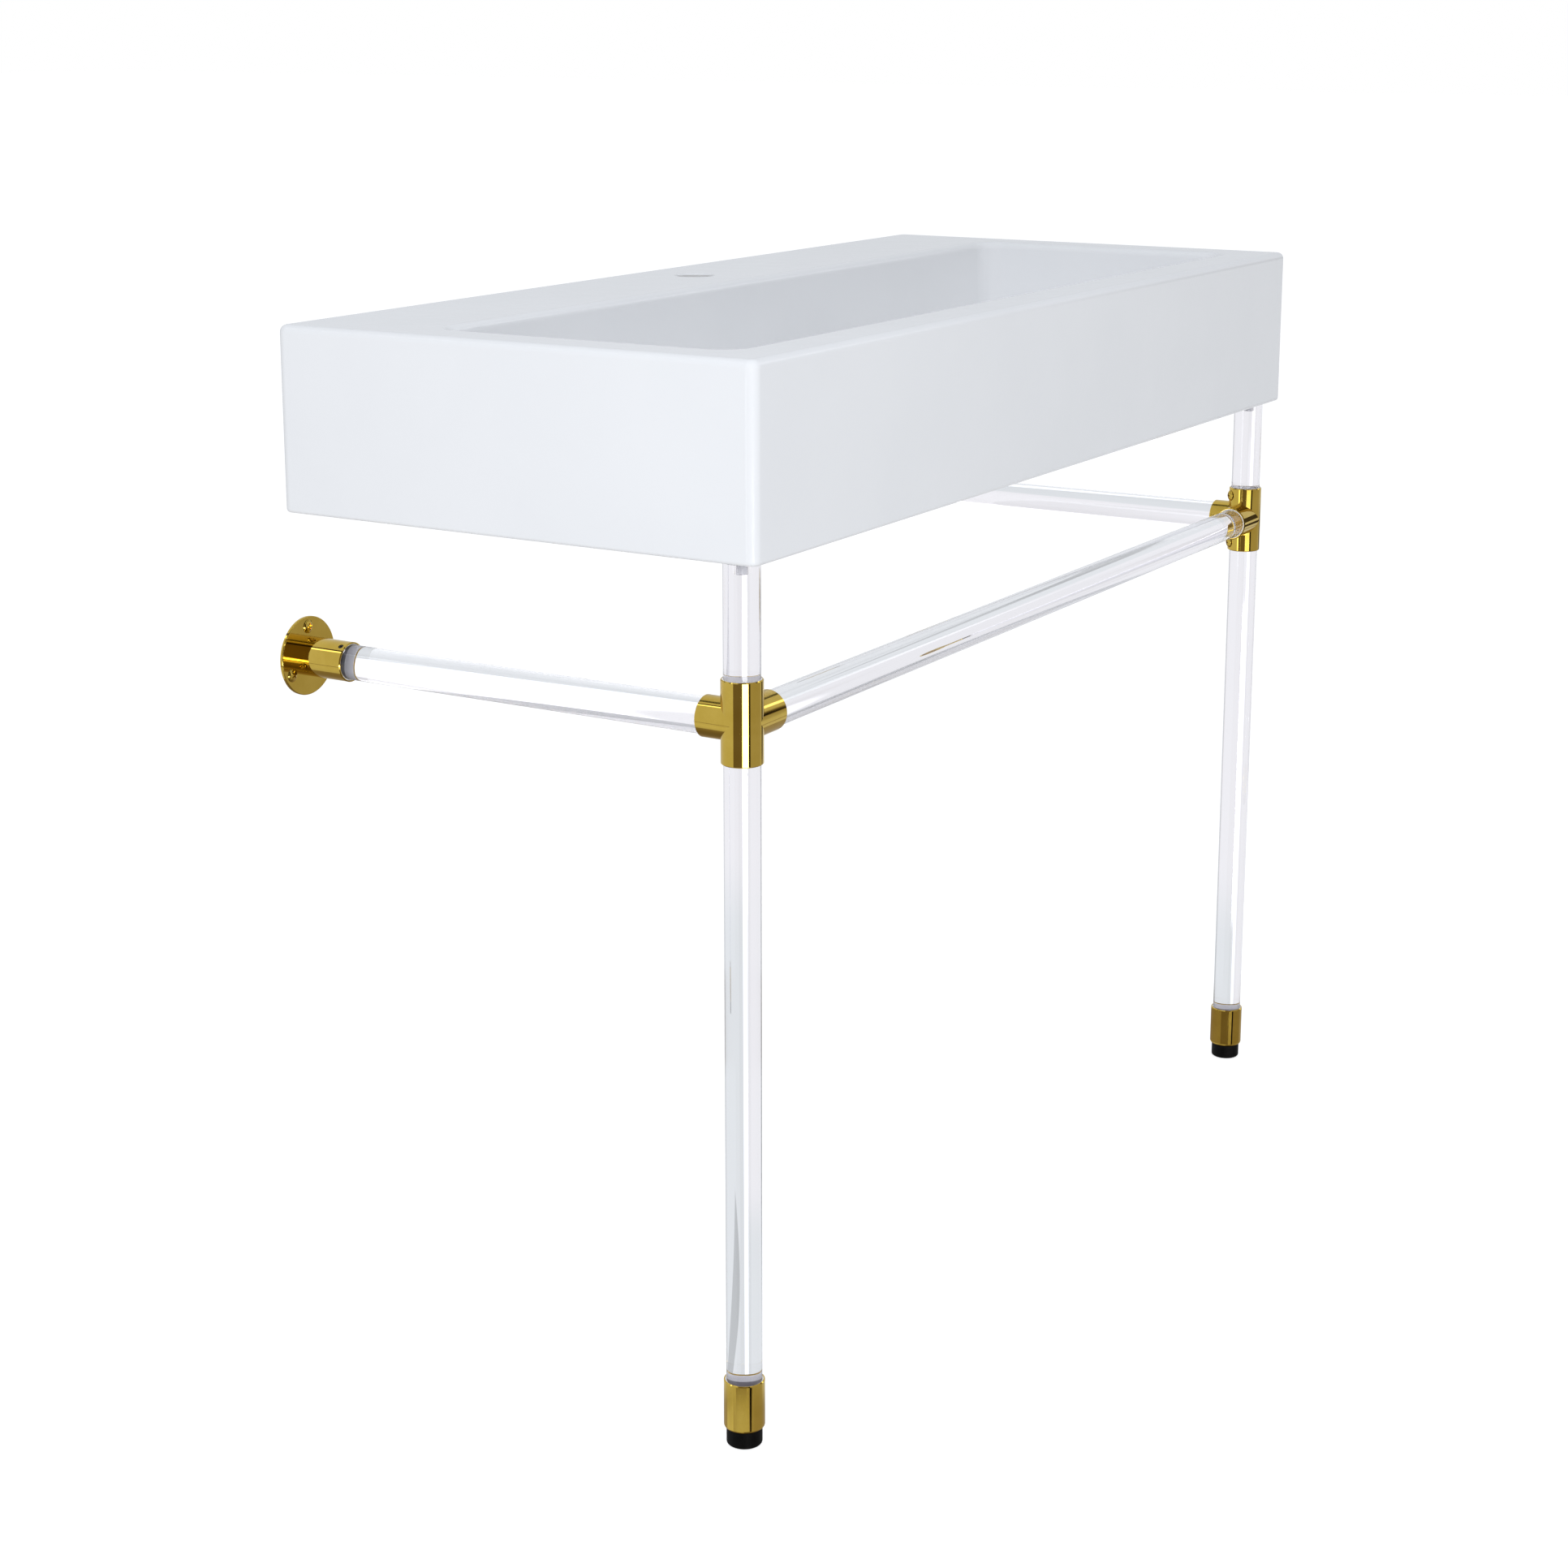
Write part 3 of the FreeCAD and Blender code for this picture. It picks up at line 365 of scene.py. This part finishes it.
def thread_ridge(low):
    """A thread ridge around the upright axis: an open section swept along a helix and closed at its ends."""
    depth = STUD_CREST - STUD_CORE
    bpy.ops.mesh.primitive_plane_add(size=1.0)
    ridge = bpy.context.object
    bpy.ops.object.mode_set(mode="EDIT")
    bpy.ops.mesh.select_mode(type="VERT")
    bpy.ops.mesh.delete(type="ONLY_FACE")
    choose(lambda at: at.x < 0.0)
    bpy.ops.mesh.delete(type="EDGE")
    choose(lambda at: at.x > 0.0)
    bpy.ops.transform.resize(value=(1.0, CREST_SHARE, 1.0), center_override=(0.5, 0.0, 0.0))
    bpy.ops.object.mode_set(mode="OBJECT")
    ridge.scale = (depth, STUD_PITCH, 1.0)
    ridge.rotation_euler = (math.pi / 2.0, 0.0, 0.0)
    ridge.location = (STUD_CORE + depth / 2.0, 0.0, low + STUD_PITCH / 2.0)
    bpy.ops.object.transform_apply(location=True, rotation=True, scale=True)
    helix = ridge.modifiers.new("helix", "SCREW")
    helix.axis = "Z"
    helix.angle = 2.0 * math.pi
    helix.screw_offset = STUD_PITCH
    helix.iterations = STUD_TURNS
    helix.steps = STUD_SIDES
    helix.render_steps = STUD_SIDES
    bpy.ops.object.modifier_apply(modifier=helix.name)
    ends = (low, low + STUD_TURNS * STUD_PITCH)
    bpy.ops.object.mode_set(mode="EDIT")
    bpy.ops.mesh.select_all(action="SELECT")
    bpy.ops.mesh.remove_doubles(threshold=NEAR)
    for end in ends:
        choose(lambda at: at.x > 0.0 and abs(at.y) < NEAR and -NEAR < at.z - end < STUD_PITCH + NEAR)
        bpy.ops.mesh.edge_face_add()
    bpy.ops.mesh.select_all(action="SELECT")
    bpy.ops.mesh.normals_make_consistent(inside=False)
    bpy.ops.object.mode_set(mode="OBJECT")
    return ridge


def stud_core(low, high):
    length = high - low
    bpy.ops.mesh.primitive_cylinder_add(vertices=STUD_SIDES, radius=STUD_CORE + CORE_OVERLAP, depth=length,
                                        location=(0.0, 0.0, low + length / 2.0))
    core = bpy.context.object
    bpy.ops.object.transform_apply(location=True, rotation=True, scale=True)
    bpy.ops.object.mode_set(mode="EDIT")
    choose(lambda at: min(at.z - low, high - at.z) < NEAR)
    bpy.ops.mesh.bevel(offset=STUD_CHAMFER, segments=2)
    bpy.ops.object.mode_set(mode="OBJECT")
    return core


def threaded_stud(side, x):
    node = side + "_foot_stud"
    low, high = (corner[2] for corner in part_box(node))
    bpy.ops.object.select_all(action="DESELECT")
    ridge = thread_ridge(low + THREAD_START)
    core = stud_core(low, high)
    bpy.ops.object.select_all(action="DESELECT")
    ridge.select_set(True)
    core.select_set(True)
    bpy.context.view_layer.objects.active = core
    bpy.ops.object.join()
    core.name = side + "_threaded_stud"
    core.location = (x, LEG_Y, 0.0)
    bpy.ops.object.transform_apply(location=True, rotation=True, scale=True)
    bpy.ops.object.shade_smooth_by_angle(angle=math.radians(SMOOTH_ANGLE))
    core.data.materials.append(FINISHES["steel"])
    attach(core, node)
    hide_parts(node)


# Studio: the direction toward the camera, the camera's right, the lamp and the floor

SHOW_DIRECTION = (-0.857, -0.515, 0.0)
SHOW_RIGHT = (0.515, -0.857, 0.0)
DAYLIGHT = (0.97, 1.0, 1.055)
WHITE = (1.0, 1.0, 1.0)
LAMP_AT = (-2.6, -1.8, 1.6)
LAMP_AIM = (-0.1, -0.2, 0.0)
LAMP_DIRECTION = tuple((Vector(LAMP_AT) - Vector(LAMP_AIM)).normalized())
LAMP_SIZE = 1.4
LAMP_POWER = 47.8
FLOOR_SIZE = 60.0
FLOOR_GAP = 0.0002
FLOOR_COLOUR = (0.55, 0.55, 0.55)
FLOOR_GLOW = 0.45
FLOOR_GLOW_SEEN = 0.27

# The world is told by bearing and height. A bearing is counted from the direction toward the camera and is
# positive to the camera's right. A height is the upward part of a ray of length one. In the tables below,
# a step is (bearing, change) or (bearing, change, softness),
# a sector is (first bearing, last bearing, change, softness),
# a bar is (first bearing, last bearing, lowest height, change),
# a patch is (first bearing, last bearing, lowest height, highest height, change), or has a softness as well,
# and a fade or edge is (first height, last height), or has two strengths as well.
# LAMP_EDGE and TINT_FADE are no heights: one is the nearness to the lamp's direction, the other a strength.

STEP_SOFT = 1.2
BAR_SOFT = 0.04
BELT_SOFT = 0.01

# Mirrored: walls with bars and shades on them, an upright strip lamp, a light beside the corner, and the lamp
WALL_STRENGTH = 0.76
WALL_STEPS = ((-47.6, -0.56), (33.5, -0.17), (45.0, 0.47), (116.0, 0.24))
WALL_BARS = (
    (-102.0, -95.0, 0.70, -0.74), (-94.0, -88.0, 0.55, 2.0),
    (110.0, 117.0, 0.02, -0.50), (122.0, 127.0, 0.30, 2.0))
WALL_SHADES = ((123.5, 138.0, -0.27, -0.178, -0.68), (123.5, 138.0, -0.078, 0.14, -0.68))
STRIP_LAMP = (
    (2.0, 33.5, -0.317, -0.155, 1.8), (2.0, 33.5, -0.317, -0.212, 9.0), (12.5, 33.5, -0.459, -0.317, 1.8))
CORNER_LIGHT = (-56.0, -46.0, -0.20, 0.02, 2.0)
LAMP_EDGE = (0.9976, 0.9984)
LAMP_MIRRORED = 9.0

# Mirrored: the ground, lighter in front, with a pale patch at the left and a shade under the lamp
GROUND_LINE = (-0.468, -0.459)
GROUND_STRENGTH = 0.42
GROUND_FRONT = (-55.0, 35.0, 0.28, 30.0)
GROUND_FADE = (-0.95, -0.55, 0.40, 1.0)
GROUND_PATCH = (-112.0, -64.0, -0.72, -0.472, 0.33, 4.0)
GROUND_SHADE = (-5.0, 45.0, 0.6, 6.0)
GROUND_SHADE_EDGE = (-0.52, -0.49)

# Mirrored: a dark line for the left foot cap, and dimmer surroundings for the right one
LEFT_CAP_LINE = (29.2, 41.5, -0.486, -0.44, 0.97)
RIGHT_CAP_DIM = 0.58
RIGHT_CAP_STEPS = ((-47.6, -0.58), (12.0, 0.80), (36.0, -0.42))
RIGHT_CAP_BELT = (-0.368, -0.338)

# Seen through clear pieces: pale walls, darker near the floor, with a bright upright gap and a bright ceiling
THROUGH_LOW = 0.81
THROUGH_GAIN = 0.09
GAIN_FADE = (-0.322, -0.292)
LEFT_GAIN_FADE = (-0.42, -0.40)
CEILING_FADE = (0.5, 0.85, 0.0, 2.0)
GAP_FROM = -177.9
GAP_TO = -168.4
GAP_STRENGTH = 0.44
GAP_SOFT = 0.5
LEFT_GAIN_END = -62.0
THROUGH_STEPS = ((-161.6, 0.04), (62.0, -0.34), (114.0, 0.34, 3.0), (172.3, -0.04))

# Seen through clear pieces: a leaning dark panel low down behind, and a large pale screen in front
PANEL_TOP = -0.402
PANEL_SPAN = 0.054
PANEL_BEARING = 160.0
PANEL_LEFT_LEAN = (-10.0, -30.0)
PANEL_RIGHT_LEAN = (32.1, -40.3)
PANEL_SHADE = 0.29
SCREEN = (-100.0, 100.0, 1.6, 10.0)
SCREEN_FADE = (0.0, 0.2)

# Soft light on everything else, stronger from above, and the tints of mirrored and seen surroundings
SOFT_FADE = (0.0, 1.0, 0.286, 0.726)
TINT_FADE = (0.15, 0.70)
DARK_AND_BRIGHT_TINTS = ((1.0, 0.83, 0.72), (0.975, 1.005, 1.05))
LOW_AND_HIGH_TINTS = ((0.965, 1.005, 1.01), (0.996, 0.996, 1.005))


class Room:
    """The world around the part, told by the bearing and height of a ray."""

    def __init__(self, board):
        self.board = board
        self.sight = board.node("ShaderNodeTexCoord", out="Generated")
        across = self.along(SHOW_RIGHT)
        self.bearing = across.math("ARCTAN2", across, self.along(SHOW_DIRECTION)) * (180.0 / math.pi)
        self.height = self.along((0.0, 0.0, 1.0))

    def along(self, direction):
        return self.board.vectors("DOT_PRODUCT", self.sight, direction, out="Value")

    def fade(self, low, high, start=0.0, end=1.0):
        return self.board.ramp(self.height, low, high, start, end)

    def step(self, bearing, change, soft=STEP_SOFT):
        return self.board.ramp(self.bearing, bearing - soft, bearing + soft, 0.0, change)

    def sector(self, first, last, change=1.0, soft=STEP_SOFT):
        return self.step(first, change, soft) - self.step(last, change, soft)

    def bar(self, first, last, low, change):
        return self.sector(first, last, change) * self.fade(low - BAR_SOFT, low + BAR_SOFT)

    def belt(self, low, high):
        return self.fade(low, low + BELT_SOFT) - self.fade(high, high + BELT_SOFT)

    def patch(self, first, last, low, high, change, soft=STEP_SOFT):
        return self.sector(first, last, change, soft) * self.belt(low, high)


def mirrored_surroundings(room):
    mirrored = WALL_STRENGTH
    for step in WALL_STEPS:
        mirrored = mirrored + room.step(*step)
    for bar in WALL_BARS:
        mirrored = mirrored + room.bar(*bar)
    for patch in (*WALL_SHADES, *STRIP_LAMP, CORNER_LIGHT):
        mirrored = mirrored + room.patch(*patch)
    mirrored = mirrored + room.board.ramp(room.along(LAMP_DIRECTION), *LAMP_EDGE, 0.0, LAMP_MIRRORED)
    ground = (GROUND_STRENGTH + room.sector(*GROUND_FRONT)) * room.fade(*GROUND_FADE)
    ground = ground + room.patch(*GROUND_PATCH)
    ground = ground * (1.0 - room.sector(*GROUND_SHADE) * room.fade(*GROUND_SHADE_EDGE, 1.0, 0.0))
    mirrored = mirrored + (ground - mirrored) * room.fade(*GROUND_LINE, 1.0, 0.0)
    mirrored = mirrored * (1.0 - room.patch(*LEFT_CAP_LINE))
    dim = RIGHT_CAP_DIM
    for step in RIGHT_CAP_STEPS:
        dim = dim + room.step(*step)
    return mirrored * (1.0 - dim * room.belt(*RIGHT_CAP_BELT))


def panel_edge(room, drop, lean):
    bearing = PANEL_BEARING + lean[0] * drop + lean[1] * (drop * drop * drop)
    return room.board.ramp(room.bearing - bearing, -1.0, 1.0)


def seen_through(room):
    """Strength of what clear pieces let through, and where it is above the darker part near the floor."""
    far_left = room.step(GAP_TO, 1.0, GAP_SOFT) - room.step(LEFT_GAIN_END, 1.0)
    high = room.fade(*GAIN_FADE)
    high = high + far_left * (room.fade(*LEFT_GAIN_FADE) - high)
    through = THROUGH_LOW + THROUGH_GAIN * high + room.fade(*CEILING_FADE)
    through = through + room.sector(GAP_FROM, GAP_TO, GAP_STRENGTH, GAP_SOFT)
    for step in THROUGH_STEPS:
        through = through + room.step(*step)
    drop = (PANEL_TOP - room.height) / PANEL_SPAN
    inside_right = 1.0 - panel_edge(room, drop, PANEL_RIGHT_LEAN)
    through = through - PANEL_SHADE * panel_edge(room, drop, PANEL_LEFT_LEAN) * inside_right
    return through + room.sector(*SCREEN) * room.fade(*SCREEN_FADE), high


def make_world():
    world = bpy.data.worlds.new("studio")
    world.use_nodes = True
    bpy.context.scene.world = world
    world.cycles.sampling_method = "NONE"
    board = Board(world.node_tree)
    room = Room(board)
    mirrored = mirrored_surroundings(room)
    through, high = seen_through(room)
    soft = room.fade(*SOFT_FADE)
    strength = soft + (mirrored - soft) * board.ray("Is Glossy Ray")
    strength = strength + (through - strength) * board.ray("Is Transmission Ray")
    strength = strength + (1.0 - strength) * board.ray("Is Camera Ray")
    mirrored_tint = board.colours(board.ramp(mirrored, *TINT_FADE), *DARK_AND_BRIGHT_TINTS)
    tint = board.colours(board.ray("Is Diffuse Ray"), WHITE, DAYLIGHT)
    tint = board.colours(board.ray("Is Glossy Ray"), tint, mirrored_tint)
    tint = board.colours(board.ray("Is Transmission Ray"), tint, board.colours(high, *LOW_AND_HIGH_TINTS))
    shade = board.node("ShaderNodeBackground", None, {"Color": tint, "Strength": strength})
    board.node("ShaderNodeOutputWorld", None, {"Surface": shade})


def pale_floor(board):
    glow = FLOOR_GLOW + FLOOR_GLOW_SEEN * board.ray("Is Camera Ray")
    matt = board.node("ShaderNodeBsdfDiffuse", None, {"Color": (*FLOOR_COLOUR, 1.0)})
    lift = board.node("ShaderNodeEmission", None, {"Color": (*WHITE, 1.0), "Strength": glow})
    return board.node("ShaderNodeAddShader", None, {0: matt, 1: lift})


def make_floor():
    bpy.ops.mesh.primitive_plane_add(size=FLOOR_SIZE, location=(0.0, 0.0, FLOOR_Z - FLOOR_GAP))
    floor = bpy.context.object
    floor.name = "floor"
    floor.data.materials.append(material("pale_floor", pale_floor))
    floor.visible_glossy = False
    floor.visible_transmission = False


def make_lamp():
    bpy.ops.object.light_add(type="AREA", location=LAMP_AT)
    lamp = bpy.context.object
    lamp.name = "left_window"
    lamp.rotation_euler = (Vector(LAMP_AIM) - Vector(LAMP_AT)).to_track_quat("-Z", "Y").to_euler()
    lamp.data.shape = "SQUARE"
    lamp.data.size = LAMP_SIZE
    lamp.data.energy = LAMP_POWER
    lamp.data.color = DAYLIGHT
    lamp.visible_camera = False
    lamp.visible_glossy = False
    lamp.visible_transmission = False


def make_camera():
    bpy.ops.object.camera_add(location=CAMERA_AT)
    camera = bpy.context.object
    yaw = math.radians(CAMERA_YAW)
    pitch = math.radians(CAMERA_PITCH)
    forward = Vector((math.cos(yaw) * math.cos(pitch), math.sin(yaw) * math.cos(pitch), -math.sin(pitch)))
    camera.rotation_euler = forward.to_track_quat("-Z", "Y").to_euler()
    camera.data.lens = CAMERA_LENS
    camera.data.shift_y = CAMERA_SHIFT
    camera.data.clip_end = CAMERA_REACH
    bpy.context.scene.camera = camera


clear_stage()
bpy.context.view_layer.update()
dress_nodes()
for side, x in (("left", -LEG_X), ("right", LEG_X)):
    threaded_stud(side, x)
make_world()
make_floor()
make_lamp()
make_camera()
bpy.context.scene.view_settings.view_transform = "Standard"
